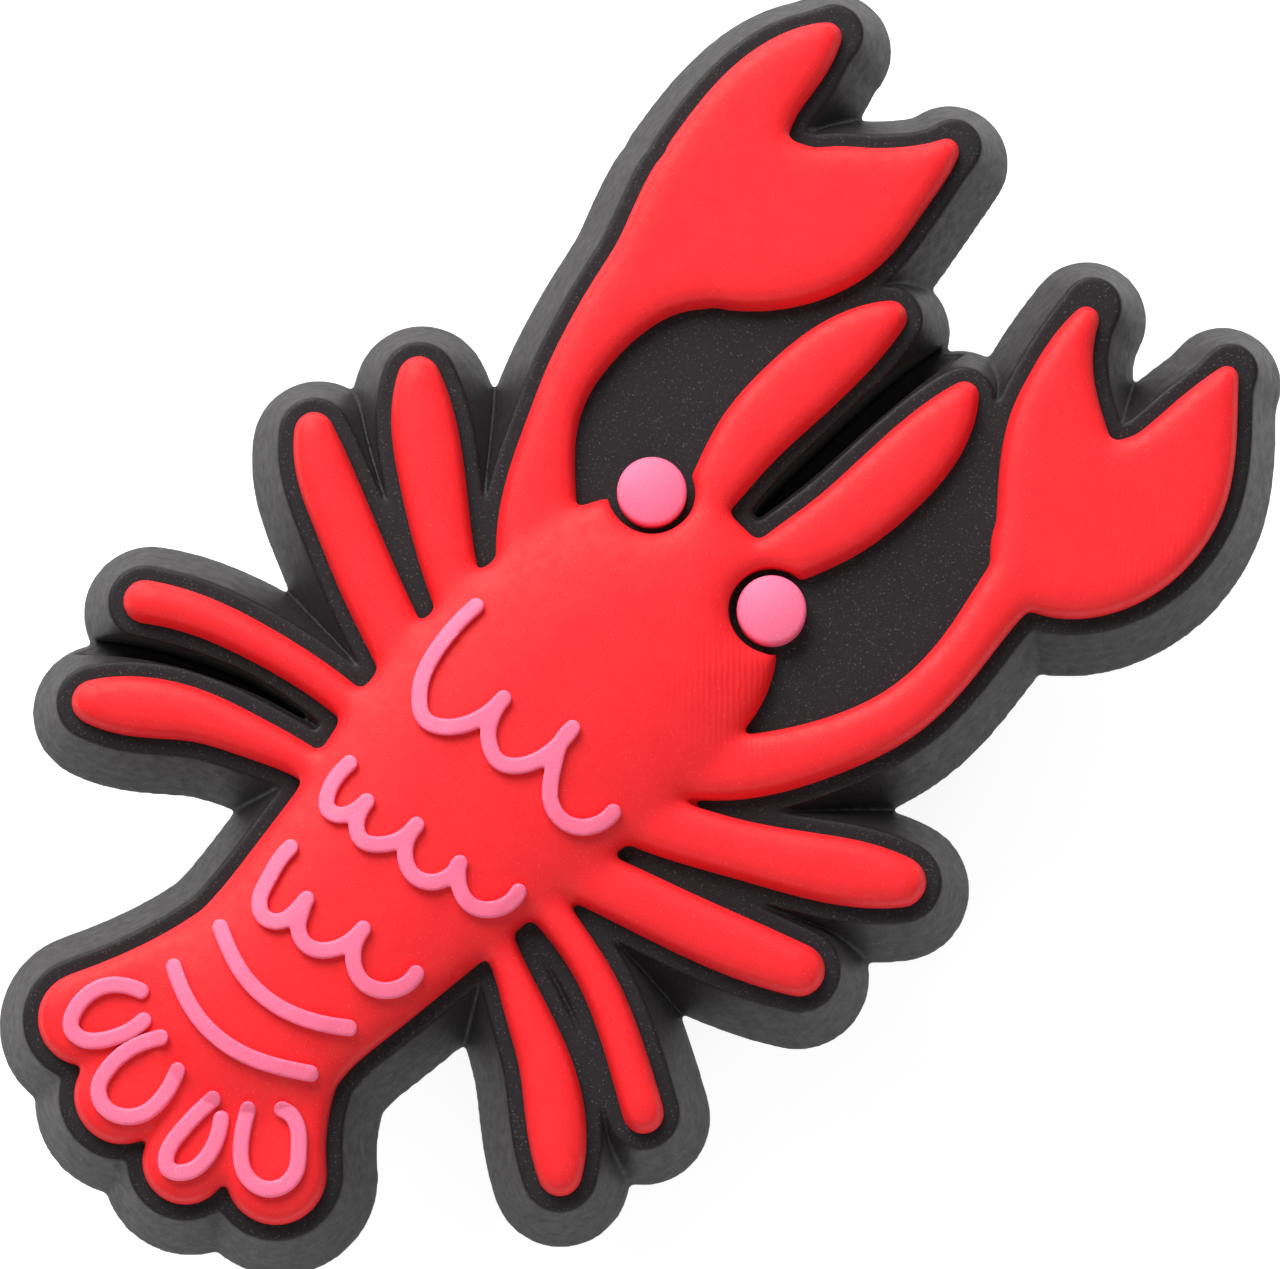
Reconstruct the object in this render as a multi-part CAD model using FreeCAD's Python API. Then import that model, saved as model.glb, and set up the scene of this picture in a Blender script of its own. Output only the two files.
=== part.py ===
"""Lobster-shaped charm of moulded soft rubber, with a push-in stud on its back.

A black base plate follows the lobster's outline with a flat border and a
sloping wall. The red lobster stands on it as one raised relief. Two eye discs
and nine raised lines of a paler rubber finish its face, and a mushroom stud
on the back snaps into a round hole.

Frame, in millimetres: +Z is the display side, +Y points from the tail to the
claws, and the origin is on the stud's axis in the plane of the flat back.
"""
import FreeCAD, Part
import math
import os

V = FreeCAD.Vector

# ---------------------------------------------------------------- overall sizes
CHARM_LENGTH = 46.7      # tail fan to claw tips, over the base plate's foot
CHARM_WIDTH = 28.1       # leg tip to leg tip, over the base plate's foot

# ------------------------------------------------------------------- base plate
BASE_THICK = 3.0         # flat back to flat front border
BORDER = 0.48            # flat black margin around the red relief
WALL_RUN = 1.05          # how far the sloping wall spreads on its way to the back
GROOVE_FLOOR = 0.6       # what is left under the two deep grooves
GROOVE_LEAN = 0.07       # draft of a groove's wall, over its whole depth

# ------------------------------------------------------------------- red relief
LIMB_RISE = 0.90         # claws, arms, legs and feelers above the base plate
BODY_RISE = 0.98         # edge of the carapace and tail above the base plate
FAN_RISE = 0.94          # tail fan above the base plate
EDGE_DROP = 0.30         # height of the softened top edge
EDGE_LEAN = 0.05         # draft of the relief's side up to the softened edge
EDGE_INSET = 0.28        # how far the softened edge runs inwards
CROWN = ((0.80, 0.22), (0.57, 0.42), (0.29, 0.55))   # (share of the radius, extra rise)

# ------------------------------------------------------------------------- eyes
EYE_RADIUS = 1.12
EYE_SIDE = 0.72          # height of an eye's upright side
EYE_CROWN = 0.33         # height of its dome over that side
EYE_GAP = 0.28           # black ring between an eye and the red around it
EYE_SPREAD = 2.71        # eye centre to the middle line, on the drawing
EYE_FORWARD = 5.38       # eye centre ahead of the origin, on the drawing

# ----------------------------------------------------------------- raised lines
LINE_HALF_WIDTH = 0.26
LINE_RISE = 0.26         # above the red surface, all along the line

# ------------------------------------------------------------------------- stud
STEM_RADIUS = 4.0
STEM_LENGTH = 4.5        # back of the base plate to the cap's shoulder
CAP_RADIUS = 6.0
CAP_THICK = 2.0
CAP_ROUND = 0.8
FLANGE_RADIUS = 7.0      # disc bonded into the base plate's back
FLANGE_THICK = 0.8
FLANGE_CLEARANCE = 0.05  # radial, between the disc and its recess

# -------------------------------------------------------------------- drawing
# Every limb is a soft brush stroke: circles (x, y, radius) on its spine, from
# root to tip, drawn for the full size of DRAWN_LENGTH by DRAWN_WIDTH.
DRAWN_LENGTH = 46.7
DRAWN_WIDTH = 28.1

LIMBS = {
    "left_arm": [(-3.7, 1.2, 1.35), (-4.85, 2.35, 1.26), (-5.7, 3.38, 1.06), (-6.68, 4.88, 0.82),
                 (-7.23, 6.1, 0.82), (-7.59, 7.5, 0.95), (-7.79, 9.05, 1.18), (-7.74, 11.0, 1.69),
                 (-7.58, 12.3, 2.3), (-7.35, 13.6, 2.95)],
    "left_outer_finger": [(-8.5, 14.4, 2.0), (-9.15, 15.9, 1.57), (-9.44, 17.3, 1.3),
                          (-9.4, 18.7, 1.03), (-9.3, 19.7, 0.64), (-9.26, 20.0, 0.48)],
    "left_web": [(-7.8, 15.0, 1.6), (-7.24, 15.2, 1.6), (-6.15, 15.74, 1.6), (-5.0, 16.7, 1.5)],
    "left_inner_finger": [(-6.6, 13.2, 2.3), (-5.6, 14.55, 2.4), (-5.03, 15.9, 2.27),
                          (-4.56, 17.1, 1.71), (-4.2, 18.3, 1.14), (-3.94, 19.4, 0.68),
                          (-3.88, 20.05, 0.42)],
    "right_arm": [(4.2, -0.2, 1.0), (5.77, 1.43, 1.03), (7.17, 3.79, 0.92), (7.9, 5.86, 0.87),
                  (8.03, 8.0, 0.82), (7.83, 9.6, 0.83), (7.6, 11.1, 0.93), (7.6, 12.6, 1.2)],
    "right_outer_finger": [(7.75, 13.1, 2.0), (8.2, 14.45, 2.65), (8.74, 16.0, 2.4),
                           (8.85, 17.2, 2.0), (8.6, 18.4, 1.58), (8.2, 19.6, 1.1),
                           (7.85, 20.7, 0.61), (7.72, 21.15, 0.4)],
    "right_inner_finger": [(7.2, 14.1, 2.1), (6.1, 15.1, 1.93), (5.0, 16.1, 1.56),
                           (4.2, 17.1, 1.13), (3.6, 18.1, 0.78), (3.18, 19.3, 0.44)],
    "left_leg_1": [(-4.0, -1.7, 0.85), (-6.0, -0.68, 0.92), (-7.97, 0.67, 1.07),
                   (-9.63, 1.88, 1.04), (-10.7, 2.75, 0.7)],
    "left_leg_2": [(-4.0, -4.15, 0.95), (-5.65, -3.6, 0.96), (-7.35, -2.98, 0.98),
                   (-9.0, -2.3, 0.96), (-10.67, -1.57, 0.91), (-11.83, -0.88, 0.65)],
    "left_leg_3": [(-4.0, -6.22, 0.58), (-5.98, -6.42, 0.59), (-8.0, -6.89, 0.62),
                   (-10.04, -7.6, 0.66), (-11.76, -8.6, 0.7)],
    "left_leg_4": [(-3.6, -8.5, 0.55), (-4.6, -8.66, 0.57), (-6.03, -9.16, 0.68),
                   (-8.05, -10.06, 0.86), (-9.54, -11.17, 0.97), (-10.6, -12.03, 0.72)],
    "right_leg_1": [(4.0, -2.45, 0.95), (5.8, -1.63, 0.95), (7.5, -0.68, 0.95),
                    (9.15, 0.35, 1.05), (10.68, 1.4, 1.06), (11.77, 2.16, 0.82)],
    "right_leg_2": [(3.8, -5.1, 0.9), (5.4, -4.5, 0.95), (7.5, -3.78, 0.98), (9.6, -2.98, 0.98),
                    (11.45, -2.15, 0.85)],
    "right_leg_3": [(4.0, -6.35, 0.7), (5.05, -6.5, 0.6), (7.04, -6.91, 0.6), (9.0, -7.72, 0.64),
                    (11.16, -8.88, 0.67)],
    "right_leg_4": [(3.9, -8.3, 0.6), (4.6, -8.53, 0.54), (5.93, -9.1, 0.66), (7.93, -10.03, 0.86),
                    (9.48, -11.11, 0.96), (10.66, -12.13, 0.71)],
    "left_feeler": [(-1.2, 5.8, 0.7), (-1.42, 7.0, 0.86), (-1.78, 8.8, 1.1), (-1.83, 11.0, 1.22),
                    (-1.69, 13.0, 1.11), (-1.33, 14.9, 0.55)],
    "right_feeler": [(1.45, 5.8, 0.75), (1.75, 7.0, 0.93), (2.22, 8.8, 1.13), (2.43, 11.0, 1.22),
                     (2.41, 12.9, 1.09), (2.16, 14.75, 0.49)],
    "brow": [(-1.2, 6.1, 0.6), (0.1, 6.1, 0.6), (1.4, 6.1, 0.6)],
}
BODY = [(0.2, 1.7, 4.6), (-0.03, -1.5, 4.9), (-0.18, -4.75, 4.68), (-0.12, -6.8, 4.37),
        (0.0, -8.0, 4.18), (0.08, -10.2, 3.9), (0.12, -12.3, 3.65), (0.1, -13.9, 3.5),
        (0.1, -15.3, 3.55)]
FAN = {
    "fan_1": [(-1.3, -15.0, 2.2), (-2.1, -16.2, 1.7), (-3.0, -18.0, 1.45), (-3.55, -19.35, 1.5)],
    "fan_2": [(-0.6, -15.5, 2.0), (-0.8, -18.0, 1.5), (-0.95, -20.2, 1.56)],
    "fan_3": [(0.8, -15.5, 2.0), (1.5, -18.0, 1.4), (1.95, -20.25, 1.39)],
    "fan_4": [(1.5, -15.2, 2.0), (3.02, -17.0, 1.5), (4.27, -18.5, 1.63)],
}

# How far the base plate reaches on past the tips of the four fingers.
TIP_REACH = {"left_outer_finger": 0.25, "left_inner_finger": 0.3, "right_outer_finger": 0.3,
             "right_inner_finger": 0.55}

# Deep grooves in the base plate, drawn like the limbs at the plate's front.
GROOVES = {
    "feeler_slot": [(0.1, 7.4, 0.15), (0.12, 8.3, 0.29), (0.18, 9.6, 0.37), (0.22, 11.0, 0.4),
                    (0.29, 12.5, 0.43), (0.39, 13.8, 0.44), (0.56, 15.2, 0.42), (0.75, 16.5, 0.4)],
    "leg_groove": [(-5.6, -7.56, 0.12), (-6.3, -7.72, 0.16), (-7.2, -7.95, 0.22),
                   (-8.2, -8.33, 0.28), (-9.2, -8.8, 0.3), (-10.2, -9.35, 0.32),
                   (-11.2, -10.0, 0.34), (-12.6, -11.1, 0.34)],
}

# Flat black fields between each arm, the feeler beside it and the head: corners
# that lie under the red, joined by straight lines.
FIELDS = {
    "left_field": [(-1.9, 7.0), (-1.9, 13.4), (-3.6, 15.0), (-7.6, 13.0), (-7.8, 8.5), (-6.6, 4.6),
                   (-3.0, 2.0)],
    "right_field": [(2.2, 7.0), (2.4, 13.4), (3.6, 17.4), (7.6, 13.0), (7.9, 8.0), (7.0, 3.6),
                    (3.0, 2.0)],
}

# Raised lines: spine points (x, y); a scallop is several lobes that meet.
LINES = {
    "shoulder_scallop": [
        [(-4.01, -1.26), (-4.03, -2.03), (-3.91, -3.05), (-3.65, -3.94), (-3.18, -4.63),
         (-2.52, -5.0), (-1.86, -4.67), (-1.42, -4.01), (-1.25, -3.35), (-1.25, -2.76)],
        [(-1.25, -2.95), (-1.12, -3.35), (-0.83, -3.86), (-0.39, -4.19), (0.05, -4.3), (0.49, -4.08),
         (0.85, -3.57), (1.03, -2.84), (0.97, -1.88)],
        [(0.97, -2.05), (1.05, -2.5), (1.44, -3.2), (1.81, -3.72), (2.25, -4.08), (2.76, -4.19),
         (3.27, -4.01), (3.68, -3.5), (3.77, -2.84)],
    ],
    "waist_scallop": [
        [(-3.27, -7.67), (-3.27, -8.19), (-3.1, -8.77), (-2.66, -9.21), (-2.22, -8.99),
         (-2.03, -8.55), (-2.0, -8.15)],
        [(-2.0, -8.2), (-1.93, -8.48), (-1.71, -8.88), (-1.23, -9.14), (-0.76, -8.88),
         (-0.43, -8.41), (-0.32, -7.97), (-0.34, -7.56)],
        [(-0.34, -7.65), (-0.21, -8.11), (0.2, -8.59), (0.75, -8.77), (1.26, -8.55), (1.55, -8.04),
         (1.5, -7.45)],
        [(1.5, -7.55), (1.66, -7.7), (2.03, -8.0), (2.61, -8.15), (3.16, -7.86), (3.46, -7.31),
         (3.44, -6.76)],
    ],
    "tail_scallop": [
        [(-2.69, -10.89), (-2.65, -11.41), (-2.45, -12.13), (-2.17, -12.77), (-1.65, -13.05),
         (-1.21, -12.77), (-1.09, -12.21), (-1.13, -11.69)],
        [(-1.13, -11.75), (-0.97, -12.05), (-0.65, -12.53), (-0.09, -12.73), (0.43, -12.45),
         (0.75, -11.89), (0.81, -11.09)],
        [(0.82, -11.15), (0.95, -11.57), (1.35, -12.05), (1.99, -12.29), (2.55, -12.09), (2.95, -11.57),
         (2.99, -10.89)],
    ],
    "tail_band_upper": [
        [(-2.45, -14.25), (-1.45, -14.65), (-0.65, -14.83), (0.15, -14.83), (0.95, -14.65), (1.75, -14.29),
         (2.71, -13.61)],
    ],
    "tail_band_lower": [
        [(-2.61, -16.17), (-1.69, -16.57), (-0.81, -16.77), (0.07, -16.77), (0.95, -16.57),
         (1.75, -16.21), (2.87, -15.49)],
    ],
    "fan_loop_1": [
        [(-2.81, -17.45), (-3.29, -17.69), (-3.73, -18.13), (-3.93, -18.77), (-3.85, -19.41),
         (-3.53, -19.85), (-3.13, -19.87), (-2.69, -19.57), (-2.33, -19.01), (-2.13, -18.45),
         (-2.09, -18.05)],
    ],
    "fan_loop_2": [
        [(-1.31, -18.05), (-1.59, -18.53), (-1.79, -19.17), (-1.79, -19.97), (-1.59, -20.53),
         (-1.03, -20.85), (-0.39, -20.65), (0.01, -20.13), (0.09, -19.49), (-0.03, -18.85),
         (-0.19, -18.41)],
    ],
    "fan_loop_3": [
        [(1.25, -18.25), (1.21, -18.93), (1.25, -19.65), (1.39, -20.37), (1.8, -20.79),
         (2.27, -20.49), (2.43, -19.89), (2.31, -19.25), (2.07, -18.77), (1.87, -18.49)],
    ],
    "fan_loop_4": [
        [(3.03, -16.93), (3.39, -16.85), (3.83, -17.01), (4.31, -17.45), (4.71, -17.97),
         (4.79, -18.45), (4.59, -18.93), (4.07, -19.21), (3.51, -19.13), (2.99, -18.73),
         (2.55, -18.17), (2.27, -17.69)],
    ],
}

STATIONS_PER_SPAN = 2    # outline points worked out between two drawn circles
SMALLEST_CUT = 0.001     # mm3; two lines that share less than this only touch

# The base plate's foot stands outside the red outline by the border and the wall's
# run, so the drawn spines stretch by what these leave of the overall sizes.
FOOT_GROWTH = BORDER + WALL_RUN
DRAWN_GROWTH = 1.53      # the same growth on the drawing
SCALE_X = (CHARM_WIDTH - 2 * FOOT_GROWTH) / (DRAWN_WIDTH - 2 * DRAWN_GROWTH)
SCALE_Y = (CHARM_LENGTH - 2 * FOOT_GROWTH) / (DRAWN_LENGTH - 2 * DRAWN_GROWTH)
SCALE_R = (SCALE_X + SCALE_Y) / 2


def sized(circles):
    """The drawn circles at the charm's real size."""
    return [(x * SCALE_X, y * SCALE_Y, r * SCALE_R) for x, y, r in circles]


def line_circles(points):
    """A raised line's spine, whose width stays as it is at every charm size."""
    return [(x * SCALE_X, y * SCALE_Y, LINE_HALF_WIDTH) for x, y in points]


def spline(points):
    """A smooth curve through points."""
    curve = Part.BSplineCurve()
    curve.interpolate(Points=points)
    return curve


def stations(places):
    """Places along a spine where its outline is worked out, ends included."""
    found = [start + (end - start) * part / STATIONS_PER_SPAN
             for start, end in zip(places, places[1:]) for part in range(STATIONS_PER_SPAN)]
    return found + [places[-1]]


def stroke_wire(circles, grow, z):
    """Closed outline of a stroke whose circles all grow by one amount.

    The spine is one smooth curve through the circles' centres with the radius as
    its third coordinate. Each side point is where the travelling circle touches
    its envelope, and both ends are arcs of the end circles.
    """
    places = [0.0]
    for (xa, ya, _), (xb, yb, _) in zip(circles, circles[1:]):
        places.append(places[-1] + math.hypot(xb - xa, yb - ya))
    spine = Part.BSplineCurve()
    spine.interpolate(Points=[V(x, y, r) for x, y, r in circles], Parameters=places)
    left, right, centres, ways = [], [], [], []
    for place in stations(places):
        here, pull = spine.getD1(place)
        speed = math.hypot(pull.x, pull.y)
        way = V(pull.x / speed, pull.y / speed, 0)
        lean = pull.z / speed
        side = V(-way.y, way.x, 0) * math.sqrt(1 - lean * lean)
        centre = V(here.x, here.y, z)
        radius = here.z + grow
        left.append(centre + (side - way * lean) * radius)
        right.append(centre - (side + way * lean) * radius)
        centres.append((centre, radius))
        ways.append(way)
    tip = centres[-1][0] + ways[-1] * centres[-1][1]
    root = centres[0][0] - ways[0] * centres[0][1]
    edges = [spline(left).toShape(),
             Part.Arc(left[-1], tip, right[-1]).toShape(),
             spline(right[::-1]).toShape(),
             Part.Arc(right[0], root, left[0]).toShape()]
    return Part.Wire(edges)


def stroke_solid(circles, levels):
    """Solid through a stroke's outline at several (height, growth) levels."""
    wires = [stroke_wire(circles, grow, z) for z, grow in levels]
    return Part.makeLoft(wires, True, True)


def relief_stroke(circles, rise, crown=()):
    """Red stroke with an upright side, a softened edge and, on the body, a low crown."""
    top = BASE_THICK + rise
    wires = [stroke_wire(circles, 0.0, BASE_THICK),
             stroke_wire(circles, -EDGE_LEAN, top - EDGE_DROP),
             stroke_wire(circles, -EDGE_INSET, top)]
    for share, extra in crown:
        inner = [(x, y, r * share) for x, y, r in circles]
        wires.append(stroke_wire(inner, 0.0, top + extra))
    return Part.makeLoft(wires, True, True)


def one_solid(shape, name):
    """The single solid of a boolean result, with needless seams removed."""
    shape = shape.removeSplitter()
    if len(shape.Solids) != 1:
        raise ValueError(f"{name} came out as {len(shape.Solids)} solids")
    return shape.Solids[0]


def eye_centres():
    """Foot of each eye's axis, on the base plate's front."""
    return {"eye_left": V(-EYE_SPREAD * SCALE_X, EYE_FORWARD * SCALE_Y, BASE_THICK),
            "eye_right": V(EYE_SPREAD * SCALE_X, EYE_FORWARD * SCALE_Y, BASE_THICK)}


def reached(name, circles):
    """A stroke for the base plate, which moves some of the tips onwards."""
    if name not in TIP_REACH:
        return circles
    (xa, ya, _), (xb, yb, r) = circles[-2:]
    share = TIP_REACH[name] / math.hypot(xb - xa, yb - ya)
    return circles[:-1] + [(xb + (xb - xa) * share, yb + (yb - ya) * share, r)]


def groove_blade(circles):
    """Cutter for a deep groove; its outline is as drawn at the base plate's front."""
    return stroke_solid(circles, [(GROOVE_FLOOR, -GROOVE_LEAN), (BASE_THICK, 0.0)])


def field_prism(corners):
    """Full-height block under one flat black field."""
    points = [V(x * SCALE_X, y * SCALE_Y, 0) for x, y in corners]
    face = Part.Face(Part.makePolygon(points + points[:1]))
    return face.extrude(V(0, 0, BASE_THICK))


def make_base_plate():
    """Black plate: every red stroke grown outwards, more at the back than at the front."""
    levels = [(0.0, FOOT_GROWTH), (BASE_THICK, BORDER)]
    strokes = [reached(name, circles) for name, circles in LIMBS.items()]
    strokes += [*FAN.values(), BODY]
    pieces = [stroke_solid(sized(circles), levels) for circles in strokes]
    pieces += [field_prism(corners) for corners in FIELDS.values()]
    plate = pieces[0].fuse(pieces[1:])
    cutters = [groove_blade(sized(circles)) for circles in GROOVES.values()]
    cutters += [Part.makeCylinder(FLANGE_RADIUS + FLANGE_CLEARANCE, FLANGE_THICK)]
    return one_solid(plate.cut(cutters), "base_plate")


def make_relief():
    """Red relief: all strokes in one, with a round socket for each eye."""
    pieces = [relief_stroke(sized(circles), LIMB_RISE) for circles in LIMBS.values()]
    pieces += [relief_stroke(sized(circles), FAN_RISE) for circles in FAN.values()]
    relief = relief_stroke(sized(BODY), BODY_RISE, CROWN).fuse(pieces)
    for centre in eye_centres().values():
        socket = Part.makeCylinder(EYE_RADIUS + EYE_GAP, 2 * BODY_RISE, centre)
        relief = relief.cut(socket)
    return one_solid(relief, "lobster_relief")


def make_eye(centre):
    """Disc with a domed top, turned about its own axis."""
    rim = centre + V(EYE_RADIUS, 0, EYE_SIDE)
    crown = centre + V(0, 0, EYE_SIDE + EYE_CROWN)
    ball = (EYE_RADIUS ** 2 + EYE_CROWN ** 2) / (2 * EYE_CROWN)
    half_angle = math.asin(EYE_RADIUS / ball) / 2
    middle = crown + V(ball * math.sin(half_angle), 0, ball * (math.cos(half_angle) - 1))
    edges = [Part.makeLine(centre, centre + V(EYE_RADIUS, 0, 0)),
             Part.makeLine(centre + V(EYE_RADIUS, 0, 0), rim),
             Part.Arc(rim, middle, crown).toShape(),
             Part.makeLine(crown, centre)]
    return Part.Face(Part.Wire(edges)).revolve(centre, V(0, 0, 1), 360)


def make_line(name, relief, laid):
    """A raised line: the shell between the red surface and the same surface lifted.

    It stops where it would run into a line that was laid before it.
    """
    foot = BASE_THICK + LIMB_RISE / 2
    head = BASE_THICK + BODY_RISE + CROWN[-1][1] + 2 * LINE_RISE
    levels = [(foot, 0.0), (head, 0.0)]
    lobes = [stroke_solid(line_circles(points), levels) for points in LINES[name]]
    blank = lobes[0].fuse(lobes[1:]) if len(lobes) > 1 else lobes[0]
    lifted = relief.translated(V(0, 0, LINE_RISE))
    line = blank.common(lifted).cut(relief)
    for other in laid:
        if line.BoundBox.intersect(other.BoundBox) and line.common(other).Volume > SMALLEST_CUT:
            line = line.cut(other)
    return one_solid(line, name)


def make_stud():
    """Bonded disc, stem and rounded snap cap, turned about the Z axis."""
    cap_top = -STEM_LENGTH
    cap_foot = cap_top - CAP_THICK
    flange = Part.makeCylinder(FLANGE_RADIUS, FLANGE_THICK)
    stem = Part.makeCylinder(STEM_RADIUS, STEM_LENGTH, V(0, 0, cap_top))
    cap = Part.makeCylinder(CAP_RADIUS, CAP_THICK, V(0, 0, cap_foot))
    cap = cap.makeFillet(CAP_ROUND, [e for e in cap.Edges if len(e.Vertexes) == 1])
    return one_solid(flange.fuse([stem, cap]), "snap_stud")


def save(name, shape):
    """Check a solid and write its STEP file."""
    if not shape.isValid():
        raise ValueError(f"{name} is not a valid solid")
    shape.exportStep(f"parts/{name}.step")
    box = shape.BoundBox
    print(f"{name}: {shape.Volume:.2f} mm3, "
          f"{box.XMin:.2f} {box.XMax:.2f} {box.YMin:.2f} {box.YMax:.2f} {box.ZMin:.2f} {box.ZMax:.2f}")


def main():
    os.makedirs("parts", exist_ok=True)
    save("base_plate", make_base_plate())
    relief = make_relief()
    save("lobster_relief", relief)
    for name, centre in eye_centres().items():
        save(name, make_eye(centre))
    laid = []
    for name in LINES:
        laid.append(make_line(name, relief, laid))
        save(name, laid[-1])
    save("snap_stud", make_stud())


main()
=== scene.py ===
"""Looks of a lobster-shaped charm of moulded soft rubber, built around its CAD frame.

Every piece is modelled where the frame puts it, in metres, and rides on the
frame's one body. The rubber layers start as copies of their CAD solids, which
are then softened the way rubber leaves a mould: no edge stays sharp, and each
layer runs a little way into the one below it, so that the colours meet in a
clean line.
"""
import logging
import math
from dataclasses import dataclass
from enum import Enum
from typing import Optional

import bpy
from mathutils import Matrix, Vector


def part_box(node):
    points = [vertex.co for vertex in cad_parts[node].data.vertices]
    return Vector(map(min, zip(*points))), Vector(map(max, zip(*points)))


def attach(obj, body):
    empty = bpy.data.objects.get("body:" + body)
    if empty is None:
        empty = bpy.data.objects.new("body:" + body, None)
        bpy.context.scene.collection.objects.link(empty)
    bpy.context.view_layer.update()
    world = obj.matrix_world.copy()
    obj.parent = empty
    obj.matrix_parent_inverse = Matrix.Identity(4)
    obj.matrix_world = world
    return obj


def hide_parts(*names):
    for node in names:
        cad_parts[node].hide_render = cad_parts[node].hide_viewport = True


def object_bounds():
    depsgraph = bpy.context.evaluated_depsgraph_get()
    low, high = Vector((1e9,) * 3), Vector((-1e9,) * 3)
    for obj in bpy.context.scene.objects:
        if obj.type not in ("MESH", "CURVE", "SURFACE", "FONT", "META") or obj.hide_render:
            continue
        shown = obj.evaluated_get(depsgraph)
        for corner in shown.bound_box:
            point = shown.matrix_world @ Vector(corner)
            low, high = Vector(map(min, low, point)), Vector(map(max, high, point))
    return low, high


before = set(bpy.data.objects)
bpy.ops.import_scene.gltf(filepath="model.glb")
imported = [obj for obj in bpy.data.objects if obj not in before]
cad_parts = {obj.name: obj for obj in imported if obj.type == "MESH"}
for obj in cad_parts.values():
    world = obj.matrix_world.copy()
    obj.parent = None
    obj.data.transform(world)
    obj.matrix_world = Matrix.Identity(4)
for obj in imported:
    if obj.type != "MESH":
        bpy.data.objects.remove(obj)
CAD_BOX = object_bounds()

LOG = logging.getLogger("lobster_charm")
MM = 0.001
BODY = "root"
WELD = 1e-7


class Slot(Enum):
    """The record's material slots."""

    BLACK = "black_rubber"
    RED = "red_rubber"
    PINK = "pink_rubber"
    STUD = "stud_rubber"


# --------------------------------------------------------------------- bench work

def only(piece: bpy.types.Object) -> None:
    """Deselect everything, then select one piece and make it active.

    Args:
        piece: The object that the next operators act on.
    """
    bpy.ops.object.select_all(action="DESELECT")
    piece.select_set(True)
    bpy.context.view_layer.objects.active = piece


def resize_mesh(piece: bpy.types.Object, factor: float) -> None:
    """Scale a piece's mesh about the frame's origin and leave its object alone.

    Args:
        piece: The piece to scale.
        factor: The same factor for all three axes.
    """
    only(piece)
    bpy.ops.object.mode_set(mode="EDIT")
    bpy.ops.mesh.select_all(action="SELECT")
    bpy.ops.transform.resize(value=(factor,) * 3, center_override=(0, 0, 0))
    bpy.ops.object.mode_set(mode="OBJECT")


def add_modifier(piece: bpy.types.Object, kind: str, **settings: object) -> None:
    """Add one modifier to a piece and apply it at once.

    Args:
        piece: The piece to change.
        kind: Blender's name for the modifier's type.
        **settings: Values for the modifier's properties.
    """
    only(piece)
    modifier = piece.modifiers.new(kind.lower(), kind)
    for name, value in settings.items():
        setattr(modifier, name, value)
    bpy.ops.object.modifier_apply(modifier=modifier.name)


def copy_of_node(node: str, name: str) -> bpy.types.Object:
    """Copy a CAD node into a piece of its own, with its loose triangles joined up.

    Args:
        node: The CAD node's name.
        name: The new piece's name.

    Returns:
        The new piece, with its own mesh and no material.
    """
    only(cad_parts[node])
    bpy.ops.object.duplicate(linked=False)
    piece = bpy.context.view_layer.objects.active
    piece.parent = None
    piece.name = name
    piece.data.name = name
    piece.data.materials.clear()
    only(piece)
    bpy.ops.object.mode_set(mode="EDIT")
    bpy.ops.mesh.select_all(action="SELECT")
    bpy.ops.mesh.remove_doubles(threshold=WELD)
    bpy.ops.object.mode_set(mode="OBJECT")
    return piece


def select_above(piece: bpy.types.Object, height: float) -> None:
    """Select a piece's vertices above a height and nothing else.

    Args:
        piece: The piece whose mesh is marked.
        height: The height, in the mesh's own units.
    """
    mesh = piece.data
    marks = [vertex.co.z > height for vertex in mesh.vertices]
    mesh.polygons.foreach_set("select", [False] * len(mesh.polygons))
    mesh.edges.foreach_set("select", [False] * len(mesh.edges))
    mesh.vertices.foreach_set("select", marks)


def smooth_above(piece: bpy.types.Object, height: float, passes: int) -> None:
    """Relax the part of a surface that lies above a height.

    Args:
        piece: The piece to relax.
        height: The height, in the mesh's own units.
        passes: How many times each vertex moves towards its neighbours.
    """
    only(piece)
    bpy.context.tool_settings.mesh_select_mode = (True, False, False)
    select_above(piece, height)
    bpy.ops.object.mode_set(mode="EDIT")
    bpy.ops.mesh.vertices_smooth(factor=0.5, repeat=passes)
    bpy.ops.object.mode_set(mode="OBJECT")


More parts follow.
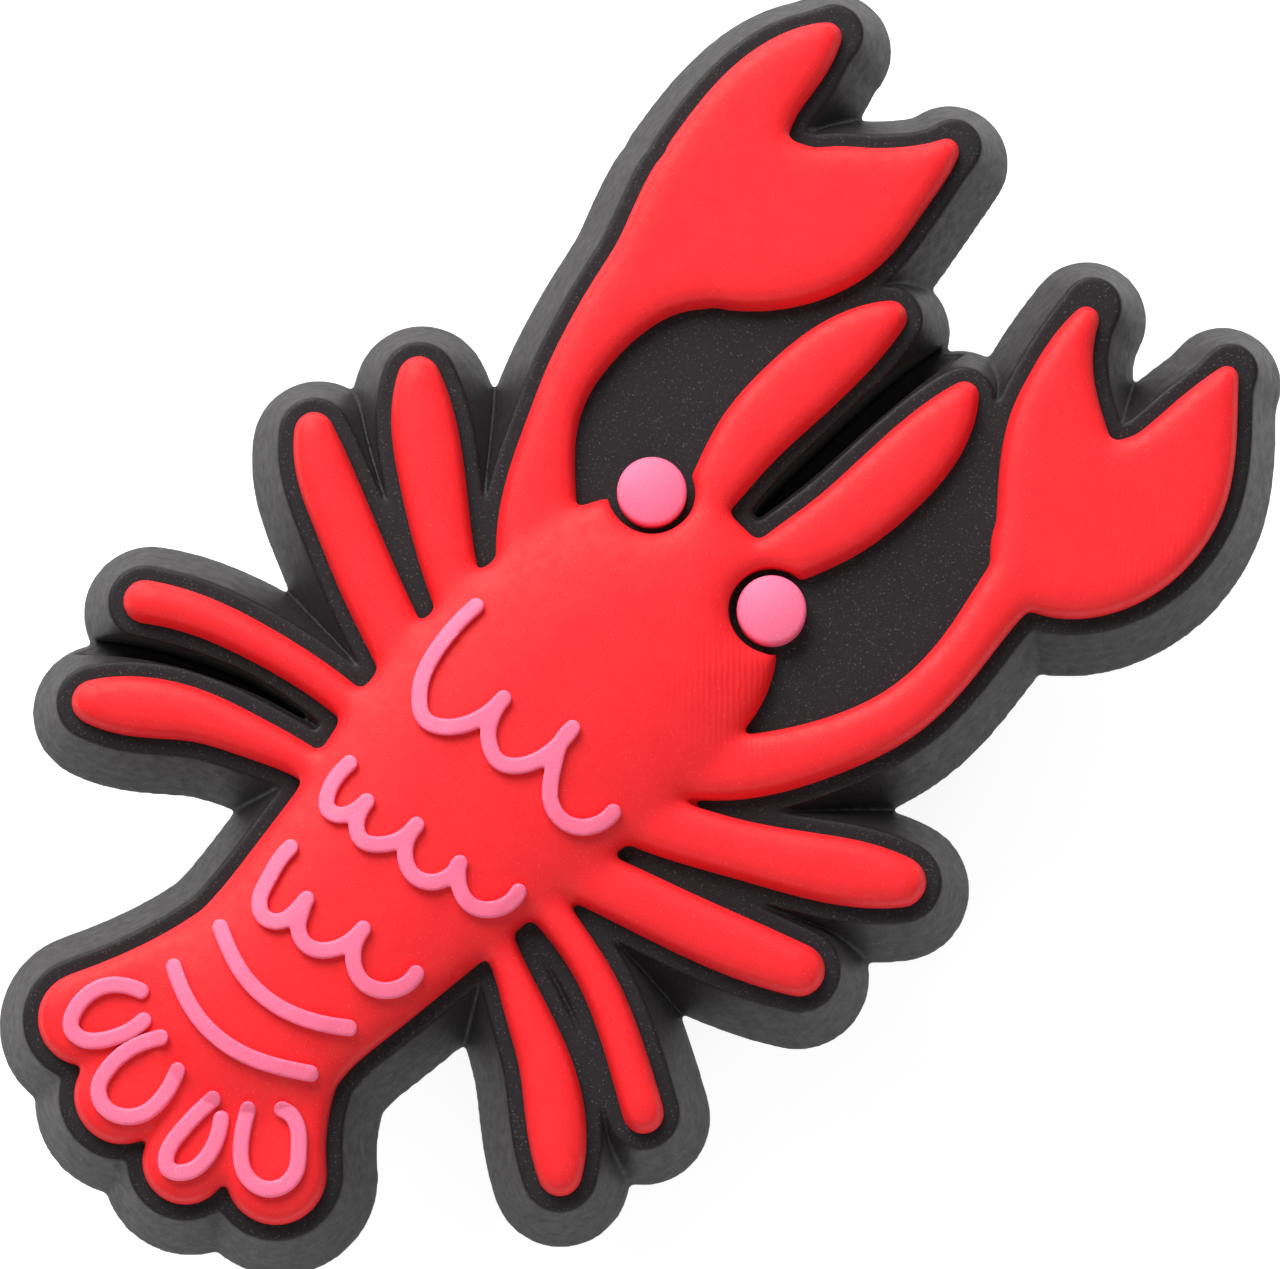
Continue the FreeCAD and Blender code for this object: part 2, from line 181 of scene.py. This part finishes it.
def turn_profile(name: str, profile: list[tuple[float, float]], centre: Vector,
                 steps: int) -> bpy.types.Object:
    """Turn a profile about the vertical axis through a point.

    Args:
        name: The new piece's name.
        profile: (radius, height) from the axis, out and back to the axis, in metres.
        centre: A point on the axis, whose height is the profile's zero.
        steps: Divisions of the full turn.

    Returns:
        The closed turned piece.
    """
    bpy.ops.object.select_all(action="DESELECT")
    bpy.ops.mesh.primitive_plane_add(size=MM, location=(0, 0, 0))
    piece = bpy.context.view_layer.objects.active
    piece.name = name
    piece.data.name = name
    bpy.ops.object.mode_set(mode="EDIT")
    bpy.ops.mesh.select_all(action="SELECT")
    bpy.ops.mesh.merge(type="CENTER")
    points = [centre + Vector((radius, 0, height)) for radius, height in profile]
    bpy.ops.transform.translate(value=points[0])
    for start, end in zip(points, points[1:]):
        bpy.ops.mesh.extrude_vertices_move(TRANSFORM_OT_translate={"value": end - start})
    bpy.ops.mesh.select_all(action="SELECT")
    bpy.ops.mesh.spin(steps=steps, angle=math.tau, center=centre, axis=(0, 0, 1))
    bpy.ops.mesh.select_all(action="SELECT")
    bpy.ops.mesh.remove_doubles(threshold=WELD)
    bpy.ops.mesh.normals_make_consistent(inside=False)
    bpy.ops.object.mode_set(mode="OBJECT")
    bpy.ops.object.shade_smooth_by_angle(angle=math.radians(40))
    return piece


def arc(centre: tuple[float, float], radius: float, start: float, end: float,
        steps: int) -> list[tuple[float, float]]:
    """Points of an arc in a profile.

    Args:
        centre: The arc's centre, as (radius, height).
        radius: The arc's radius.
        start: First angle in degrees, 0 pointing outwards and 90 up.
        end: Last angle in degrees.
        steps: Divisions between the two.

    Returns:
        The points from start to end, both included.
    """
    angles = [math.radians(start + (end - start) * step / steps) for step in range(steps + 1)]
    return [(centre[0] + radius * math.cos(a), centre[1] + radius * math.sin(a)) for a in angles]


# ----------------------------------------------------------------------- finishes

class NodeSheet:
    """A material's node tree, with short calls to add and join nodes."""

    def __init__(self, name: str) -> None:
        """Start a material with an empty principled surface.

        Args:
            name: The material's name.
        """
        self.material = bpy.data.materials.new(name)
        self.material.use_nodes = True
        self.tree = self.material.node_tree
        self.tree.nodes.clear()
        self.surface = self.add("ShaderNodeBsdfPrincipled")
        output = self.add("ShaderNodeOutputMaterial")
        self.join(self.surface.outputs["BSDF"], output.inputs["Surface"])
        self.place = self.add("ShaderNodeTexCoord").outputs["Object"]

    def add(self, kind: str, **settings: object) -> bpy.types.Node:
        """Add a node and set its properties.

        Args:
            kind: The node's type.
            **settings: Property names and their values.

        Returns:
            The new node.
        """
        node = self.tree.nodes.new(kind)
        for name, value in settings.items():
            setattr(node, name, value)
        return node

    def join(self, start: bpy.types.NodeSocket, end: bpy.types.NodeSocket) -> None:
        """Link an output to an input."""
        self.tree.links.new(start, end)

    def noise(self, grain: float, detail: float = 2.0) -> bpy.types.NodeSocket:
        """Add noise on the object's own coordinates.

        Args:
            grain: Size of one blotch, in metres.
            detail: Octaves of finer noise on top.

        Returns:
            The noise value, around 0.5.
        """
        node = self.add("ShaderNodeTexNoise")
        node.inputs["Scale"].default_value = 1.0 / grain
        node.inputs["Detail"].default_value = detail
        self.join(self.place, node.inputs["Vector"])
        return node.outputs["Fac"]

    def spread(self, value: bpy.types.NodeSocket, low: float, high: float, to_low: float,
               to_high: float) -> bpy.types.NodeSocket:
        """Map a value from one range to another, clamped.

        Args:
            value: The value to map.
            low: Start of its range.
            high: End of its range.
            to_low: Result at the start.
            to_high: Result at the end.

        Returns:
            The mapped value.
        """
        node = self.add("ShaderNodeMapRange")
        self.join(value, node.inputs["Value"])
        limits = {"From Min": low, "From Max": high, "To Min": to_low, "To Max": to_high}
        for name, number in limits.items():
            node.inputs[name].default_value = number
        return node.outputs["Result"]

    def product(self, first: bpy.types.NodeSocket, second: bpy.types.NodeSocket
                ) -> bpy.types.NodeSocket:
        """Multiply two values."""
        node = self.add("ShaderNodeMath", operation="MULTIPLY")
        self.join(first, node.inputs[0])
        self.join(second, node.inputs[1])
        return node.outputs["Value"]

    def blend(self, amount: bpy.types.NodeSocket, base: bpy.types.NodeSocket | tuple,
              other: bpy.types.NodeSocket | tuple) -> bpy.types.NodeSocket:
        """Mix two colours.

        Args:
            amount: 0 for the first colour, 1 for the second.
            base: The first colour, as a socket or red, green and blue.
            other: The second colour, in the same forms.

        Returns:
            The mixed colour.
        """
        node = self.add("ShaderNodeMix", data_type="RGBA")
        self.join(amount, node.inputs["Factor"])
        for colour, socket in ((base, node.inputs[6]), (other, node.inputs[7])):
            if isinstance(colour, tuple):
                socket.default_value = (*colour, 1.0)
            else:
                self.join(colour, socket)
        return node.outputs[2]

    def bump(self, height: bpy.types.NodeSocket, depth: float,
             below: Optional[bpy.types.NodeSocket] = None) -> bpy.types.NodeSocket:
        """Add relief that is too fine for geometry.

        Args:
            height: The height, 0 to 1.
            depth: What a height of 1 stands for, in metres.
            below: Normal of a bump that this one lies on.

        Returns:
            The bumped normal.
        """
        node = self.add("ShaderNodeBump")
        node.inputs["Distance"].default_value = depth
        self.join(height, node.inputs["Height"])
        if below is not None:
            self.join(below, node.inputs["Normal"])
        return node.outputs["Normal"]


RUBBER_IOR = 1.5
SOFT_LIGHT_SPREAD = (1.0, 0.35, 0.3)    # red light travels furthest inside the rubber
SPECK_EDGE = 0.12                       # noise range over which a speck fades in
POWDER_ROUGHNESS = 0.35
POWDER_TINT = (1.0, 0.95, 0.93, 1.0)


@dataclass(frozen=True)
class ToolMarks:
    """Fine parallel ridges that the mould's cutter left in one round patch.

    Attributes:
        centre: Middle of the patch, in metres.
        reach: Radius over which the ridges fade out.
        heading: Direction across the ridges, in degrees from +X.
        pitch: Ridge to ridge.
        depth: Height of a ridge.
        wander: How far the ridges stray from straight lines.
    """

    centre: tuple[float, float, float]
    reach: float
    heading: float
    pitch: float = 0.19 * MM
    depth: float = 0.006 * MM
    wander: float = 3.0

    def carve(self, sheet: NodeSheet, normal: bpy.types.NodeSocket) -> bpy.types.NodeSocket:
        """Add the ridges over a normal.

        Args:
            sheet: The material's nodes.
            normal: The normal under the ridges.

        Returns:
            The normal with the ridges in it.
        """
        turn = sheet.add("ShaderNodeMapping", vector_type="TEXTURE")
        turn.inputs["Location"].default_value = self.centre
        turn.inputs["Rotation"].default_value = (0, 0, math.radians(self.heading))
        sheet.join(sheet.place, turn.inputs["Vector"])
        wave = sheet.add("ShaderNodeTexWave", bands_direction="X")
        wave.inputs["Scale"].default_value = math.tau / (20 * self.pitch)
        wave.inputs["Distortion"].default_value = self.wander
        wave.inputs["Detail"].default_value = 3.0
        wave.inputs["Detail Scale"].default_value = 1.2
        sheet.join(turn.outputs["Vector"], wave.inputs["Vector"])
        span = sheet.add("ShaderNodeVectorMath", operation="LENGTH")
        sheet.join(turn.outputs["Vector"], span.inputs[0])
        fade = sheet.spread(span.outputs["Value"], 0.35 * self.reach, self.reach, 1.0, 0.0)
        ridges = sheet.product(wave.outputs["Fac"], fade)
        return sheet.bump(ridges, self.depth, normal)


@dataclass(frozen=True)
class RubberFinish:
    """Matte moulded rubber: an even colour with a fine mottle and a soft gloss.

    Attributes:
        slot: The record's slot that this finish fills.
        colour: The rubber's colour, linear red, green and blue.
        mottle_colour: The colour of the faint lighter blotches.
        mottle: How far the blotches go towards that colour, 0 to 1.
        blotch: Size of the faint blotches, in metres.
        roughness: Lowest and highest roughness.
        gloss_patch: Size of the patches over which the roughness drifts, in metres.
        skin: Depth of the fine moulded texture, in metres.
        grain: Size of that texture's bumps, in metres.
        specks: Colour of the sparse dust-like specks.
        speck: Size of a speck, in metres.
        speck_share: Noise level above which a speck shows.
        gloss: How strongly the surface mirrors light, 0.5 for a bare polymer.
        soft_light: Share of the light that scatters inside the rubber.
        soft_reach: How far that light travels, in metres.
        powder: How much a powdery skin brightens surfaces seen at a slant.
        marks: Patches of tool marks.
    """

    slot: Slot
    colour: tuple[float, float, float]
    mottle_colour: tuple[float, float, float]
    mottle: float = 0.6
    blotch: float = 0.9 * MM
    roughness: tuple[float, float] = (0.5, 0.62)
    gloss_patch: float = 0.35 * MM
    skin: float = 0.006 * MM
    grain: float = 0.06 * MM
    specks: tuple[float, float, float] = (0.4, 0.4, 0.4)
    speck: float = 0.055 * MM
    speck_share: float = 0.72
    gloss: float = 0.3
    soft_light: float = 0.0
    soft_reach: float = 0.5 * MM
    powder: float = 0.0
    marks: tuple[ToolMarks, ...] = ()

    def material(self) -> bpy.types.Material:
        """Build the finish as a node material.

        Returns:
            The material, ready for a piece's first slot.
        """
        sheet = NodeSheet(self.slot.value)
        sheet.join(self.tint(sheet), sheet.surface.inputs["Base Color"])
        roughness = sheet.spread(sheet.noise(self.gloss_patch), 0.3, 0.7, *self.roughness)
        sheet.join(roughness, sheet.surface.inputs["Roughness"])
        normal = sheet.bump(sheet.noise(self.grain, detail=3.0), self.skin)
        for patch in self.marks:
            normal = patch.carve(sheet, normal)
        sheet.join(normal, sheet.surface.inputs["Normal"])
        constants = {
            "IOR": RUBBER_IOR,
            "Specular IOR Level": self.gloss,
            "Subsurface Weight": self.soft_light,
            "Subsurface Radius": SOFT_LIGHT_SPREAD,
            "Subsurface Scale": self.soft_reach,
            "Sheen Weight": self.powder,
            "Sheen Roughness": POWDER_ROUGHNESS,
            "Sheen Tint": POWDER_TINT,
        }
        for name, value in constants.items():
            sheet.surface.inputs[name].default_value = value
        return sheet.material

    def tint(self, sheet: NodeSheet) -> bpy.types.NodeSocket:
        """Colour the rubber: faint blotches first, then the specks on top.

        Args:
            sheet: The material's nodes.

        Returns:
            The finished colour.
        """
        blotches = sheet.noise(self.blotch, detail=6.0)
        amount = sheet.spread(blotches, 0.35, 0.7, 0.0, self.mottle)
        tone = sheet.blend(amount, self.colour, self.mottle_colour)
        specks = sheet.spread(sheet.noise(self.speck, detail=0.0), self.speck_share,
                              self.speck_share + SPECK_EDGE, 0.0, 1.0)
        return sheet.blend(specks, tone, self.specks)


BLACK_RUBBER = RubberFinish(
    slot=Slot.BLACK,
    colour=(0.0068, 0.0048, 0.0064),
    mottle_colour=(0.011, 0.008, 0.0098),
    specks=(0.060, 0.053, 0.054),
    speck_share=0.70,
    gloss=0.28,
    powder=0.06,
)
RED_RUBBER = RubberFinish(
    slot=Slot.RED,
    colour=(0.79, 0.014, 0.019),
    mottle_colour=(0.84, 0.020, 0.025),
    specks=(0.95, 0.05, 0.05),
    gloss=0.25,
    soft_light=0.12,
    marks=(ToolMarks((3.9 * MM, 2.8 * MM, 4.2 * MM), 2.6 * MM, 45.0, depth=0.008 * MM),
           ToolMarks((9.6 * MM, 15.2 * MM, 3.9 * MM), 3.4 * MM, 40.0, depth=0.003 * MM)),
)
PINK_RUBBER = RubberFinish(
    slot=Slot.PINK,
    colour=(0.90, 0.155, 0.275),
    mottle_colour=(0.94, 0.17, 0.30),
    specks=(0.97, 0.27, 0.40),
    soft_light=0.15,
)
STUD_RUBBER = RubberFinish(
    slot=Slot.STUD,
    colour=(0.034, 0.029, 0.031),
    mottle_colour=(0.045, 0.040, 0.042),
    specks=(0.12, 0.11, 0.11),
    roughness=(0.40, 0.50),
    skin=0.005 * MM,
)


# ------------------------------------------------------------------ the sub-parts

@dataclass
class RubberPiece:
    """One piece of the charm, which stands for one CAD node.

    Attributes:
        node: The CAD node that the piece stands for.
        finish: The piece's rubber.
    """

    node: str
    finish: RubberFinish

    def build(self) -> bpy.types.Object:
        """Model the piece at its place in the frame.

        Returns:
            The finished piece without its material.
        """
        raise NotImplementedError

    def dress(self, piece: bpy.types.Object, materials: dict[Slot, bpy.types.Material]) -> None:
        """Give the piece its material and tie it to the frame.

        Args:
            piece: The piece that build made.
            materials: The finished materials by slot.
        """
        piece.data.materials.append(materials[self.finish.slot])
        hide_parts(self.node)
        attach(piece, BODY)


@dataclass
class MouldedLayer(RubberPiece):
    """One colour of rubber, softened from its CAD solid.

    Attributes:
        voxel: Size of the new mesh's faces, in millimetres.
        soften: Smoothing passes, which round the edges.
        sink: How far the layer runs into what is under it, in millimetres.
        keep: Share of the faces that the finished piece keeps.
    """

    voxel: float
    soften: int
    sink: float = 0.0
    keep: float = 1.0

    def build(self) -> bpy.types.Object:
        """Remesh the CAD solid finely, relax it and thin out its faces.

        Returns:
            The finished piece without its material.
        """
        piece = copy_of_node(self.node, f"{self.node}_rubber")
        resize_mesh(piece, 1 / MM)
        if self.sink:
            self.run_under(piece)
        add_modifier(piece, "REMESH", mode="VOXEL", voxel_size=self.voxel)
        add_modifier(piece, "SMOOTH", factor=0.5, iterations=self.soften)
        self.refine(piece)
        if self.keep < 1.0:
            add_modifier(piece, "DECIMATE", ratio=self.keep)
        resize_mesh(piece, MM)
        bpy.ops.object.shade_smooth()
        return piece

    def run_under(self, piece: bpy.types.Object) -> None:
        """Add a lowered copy of the mesh, which the remesh joins to the first."""
        only(piece)
        bpy.ops.object.mode_set(mode="EDIT")
        bpy.ops.mesh.select_all(action="SELECT")
        bpy.ops.mesh.duplicate_move(TRANSFORM_OT_translate={"value": (0, 0, -self.sink)})
        bpy.ops.object.mode_set(mode="OBJECT")

    def refine(self, piece: bpy.types.Object) -> None:
        """Shape the softened mesh further; a plain layer needs nothing."""


@dataclass
class BasePlate(MouldedLayer):
    """The black plate with its flat border, sloping wall and grooves."""

    node: str = "base_plate"
    finish: RubberFinish = BLACK_RUBBER
    voxel: float = 0.06
    soften: int = 19
    keep: float = 0.15


@dataclass
class LobsterRelief(MouldedLayer):
    """The red lobster in one pour, with soft limbs and a low crown along its body.

    Attributes:
        softening: (height in millimetres, passes) of each step of the rounding; every
            step relaxes all that lies above its height.
    """

    node: str = "lobster_relief"
    finish: RubberFinish = RED_RUBBER
    voxel: float = 0.1
    soften: int = 6
    sink: float = 0.25
    softening: tuple[tuple[float, int], ...] = (
        (3.3, 40), (3.75, 10), (3.86, 12), (3.93, 15), (4.0, 15), (4.08, 20), (4.16, 25))

    def refine(self, piece: bpy.types.Object) -> None:
        """Round the limbs' tops, then run the crown's steps into one gentle dome."""
        for height, passes in self.softening:
            smooth_above(piece, height, passes)


@dataclass
class RaisedLine(MouldedLayer):
    """A pink line of even width that follows the red surface."""

    finish: RubberFinish = PINK_RUBBER
    voxel: float = 0.05
    soften: int = 7
    sink: float = 0.22


@dataclass
class Eye(RubberPiece):
    """A pink disc with a softly rounded rim and a low dome.

    Attributes:
        rim: Radius of the rounded rim, in metres.
        dome: How far the top bulges over the width of the disc.
        top: Height of the dome's top above the base plate.
        sink: How far the disc runs into the base plate, in metres.
    """

    finish: RubberFinish = PINK_RUBBER
    rim: float = 0.20 * MM
    dome: float = 0.22 * MM
    top: float = 1.0 * MM
    sink: float = 0.15 * MM

    def build(self) -> bpy.types.Object:
        """Turn the eye about its own axis.

        Returns:
            The finished piece without its material.
        """
        low, high = (Vector(corner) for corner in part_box(self.node))
        radius = (high.x - low.x) / 2
        centre = Vector(((low.x + high.x) / 2, (low.y + high.y) / 2, low.z))
        ball = (radius ** 2 + self.dome ** 2) / (2 * self.dome)
        inner = ball - self.rim
        rim_radius = radius - self.rim
        rim_height = self.top - ball + math.sqrt(inner ** 2 - rim_radius ** 2)
        meet = math.degrees(math.acos(rim_radius / inner))
        rim_arc = arc((rim_radius, rim_height), self.rim, 0, meet, 10)
        dome = arc((0.0, self.top - ball), ball, meet, 90, 12)
        profile = [(0.0, -self.sink), (radius, -self.sink), *rim_arc, *dome[1:-1], (0.0, self.top)]
        return turn_profile(f"{self.node}_rubber", profile, centre, 72)


@dataclass
class SnapStud(RubberPiece):
    """The stud on the back: a bonded disc, a waisted stem and a rounded cap.

    Attributes:
        stem_radius: Radius of the stem at its middle, in metres.
        cap_radius: Radius of the cap.
        flange_radius: Radius of the bonded disc.
        flange_thick: Thickness of the bonded disc.
        cap_thick: Thickness of the cap.
        fillet: Radius where the stem meets disc and cap.
        cap_round: Radius of the cap's edge.
    """

    node: str = "snap_stud"
    finish: RubberFinish = STUD_RUBBER
    stem_radius: float = 4.0 * MM
    cap_radius: float = 6.0 * MM
    flange_radius: float = 7.0 * MM
    flange_thick: float = 0.8 * MM
    cap_thick: float = 2.0 * MM
    fillet: float = 0.5 * MM
    cap_round: float = 0.8 * MM

    def build(self) -> bpy.types.Object:
        """Turn the stud about the frame's Z axis.

        Returns:
            The finished piece without its material.
        """
        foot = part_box(self.node)[0][2]
        shoulder = foot + self.cap_thick
        profile = [(0.0, self.flange_thick), (self.flange_radius, self.flange_thick),
                   (self.flange_radius, 0.0)]
        profile += arc((self.stem_radius + self.fillet, -self.fillet), self.fillet, 90, 180, 8)
        profile += arc((self.stem_radius + self.fillet, shoulder + self.fillet), self.fillet,
                       180, 270, 8)
        profile += arc((self.cap_radius - self.cap_round, shoulder - self.cap_round),
                       self.cap_round, 90, 0, 10)
        profile += arc((self.cap_radius - self.cap_round, foot + self.cap_round),
                       self.cap_round, 0, -90, 10)
        profile.append((0.0, foot))
        return turn_profile(f"{self.node}_rubber", profile, Vector((0, 0, 0)), 128)


EYE_NODES = ("eye_left", "eye_right")
LINE_NODES = ("shoulder_scallop", "waist_scallop", "tail_scallop", "tail_band_upper",
              "tail_band_lower", "fan_loop_1", "fan_loop_2", "fan_loop_3", "fan_loop_4")


# -------------------------------------------------------------------- the studio

SENSOR_WIDTH = 36.0    # millimetres


@dataclass
class Studio:
    """A pale floor, soft light and the camera.

    Attributes:
        floor_colour: The floor's grey.
        floor_glow: Light that comes up through the floor, as on a light table.
        floor_size: Side of the floor, in metres.
        air_light: Strength of the light from all round.
        aim: The point that the camera looks at, in metres.
        azimuth: The camera's side, in degrees, 0 looking along +Y.
        elevation: The camera's height, in degrees above the horizon.
        distance: Camera to aim, in metres.
        lens: Focal length in millimetres, for a sensor of SENSOR_WIDTH.
    """

    floor_colour: float = 0.5
    floor_glow: float = 0.80
    floor_size: float = 3.0
    air_light: float = 0.24
    aim: tuple[float, float, float] = (0.23 * MM, 1.90 * MM, 3.0 * MM)
    azimuth: float = 45.0
    elevation: float = 83.0
    distance: float = 220.0 * MM
    lens: float = 192.74

    def lay_floor(self) -> None:
        """Put the floor under the lowest point of the object."""
        lowest = CAD_BOX[0][2]
        bpy.ops.object.select_all(action="DESELECT")
        bpy.ops.mesh.primitive_plane_add(size=self.floor_size, location=(0, 0, 0))
        floor = bpy.context.view_layer.objects.active
        floor.name = "studio_floor"
        bpy.ops.object.mode_set(mode="EDIT")
        bpy.ops.mesh.select_all(action="SELECT")
        bpy.ops.transform.translate(value=(0, 0, lowest))
        bpy.ops.object.mode_set(mode="OBJECT")
        sheet = NodeSheet("studio_floor")
        sheet.surface.inputs["Roughness"].default_value = 0.9
        sheet.surface.inputs["Emission Color"].default_value = (1.0, 1.0, 1.0, 1.0)
        sheet.surface.inputs["Emission Strength"].default_value = self.floor_glow
        tone = (self.floor_colour,) * 3
        shade = (0.985 * self.floor_colour,) * 3
        clouds = sheet.noise(30 * MM)
        sheet.join(sheet.blend(clouds, tone, shade), sheet.surface.inputs["Base Color"])
        floor.data.materials.append(sheet.material)

    def hang_lights(self) -> None:
        """Light the object from its left with a broad lamp, and softly from all round."""
        world = bpy.data.worlds.new("studio_air")
        bpy.context.scene.world = world
        world.use_nodes = True
        sky = world.node_tree.nodes["Background"]
        sky.inputs["Color"].default_value = (1.0, 1.0, 1.0, 1.0)
        sky.inputs["Strength"].default_value = self.air_light
        self.area_lamp("key_lamp", place=(-0.28, 0.11, 0.22), size=0.30, power=2.6)
        self.area_lamp("fill_lamp", place=(0.22, -0.17, 0.28), size=0.30, power=0.50)

    def area_lamp(self, name: str, place: tuple[float, float, float], size: float,
                  power: float) -> None:
        """Hang one square lamp that faces the object.

        Args:
            name: The lamp's name.
            place: Where it hangs, in metres.
            size: Its side, in metres.
            power: Its output, in watts.
        """
        bpy.ops.object.light_add(type="AREA", location=place)
        lamp = bpy.context.view_layer.objects.active
        lamp.name = name
        lamp.data.size = size
        lamp.data.energy = power
        lamp.rotation_euler = (-Vector(place)).to_track_quat("-Z", "Y").to_euler()

    def set_camera(self) -> None:
        """Place the camera at the viewing angle and make it the scene's own."""
        turn, rise = math.radians(self.azimuth), math.radians(self.elevation)
        back = Vector((math.sin(turn) * math.cos(rise), -math.cos(turn) * math.cos(rise),
                       math.sin(rise)))
        place = Vector(self.aim) + back * self.distance
        bpy.ops.object.camera_add(location=place)
        camera = bpy.context.view_layer.objects.active
        camera.rotation_euler = (-back).to_track_quat("-Z", "Y").to_euler()
        camera.data.sensor_width = SENSOR_WIDTH
        camera.data.lens = self.lens
        camera.data.clip_start = 0.01
        camera.data.clip_end = 10.0
        bpy.context.scene.camera = camera


def main() -> None:
    """Build the charm piece by piece, then the studio."""
    logging.basicConfig(level=logging.INFO, format="%(message)s")
    finishes = (BLACK_RUBBER, RED_RUBBER, PINK_RUBBER, STUD_RUBBER)
    materials = {finish.slot: finish.material() for finish in finishes}
    makers: list[RubberPiece] = [BasePlate(), LobsterRelief()]
    makers += [Eye(node) for node in EYE_NODES]
    makers += [RaisedLine(node) for node in LINE_NODES]
    makers.append(SnapStud())
    for maker in makers:
        piece = maker.build()
        maker.dress(piece, materials)
        LOG.info("%s: %d faces", piece.name, len(piece.data.polygons))
    studio = Studio()
    studio.lay_floor()
    studio.hang_lights()
    studio.set_camera()
    bpy.context.scene.view_settings.view_transform = "Standard"


if __name__ == "__main__":
    main()
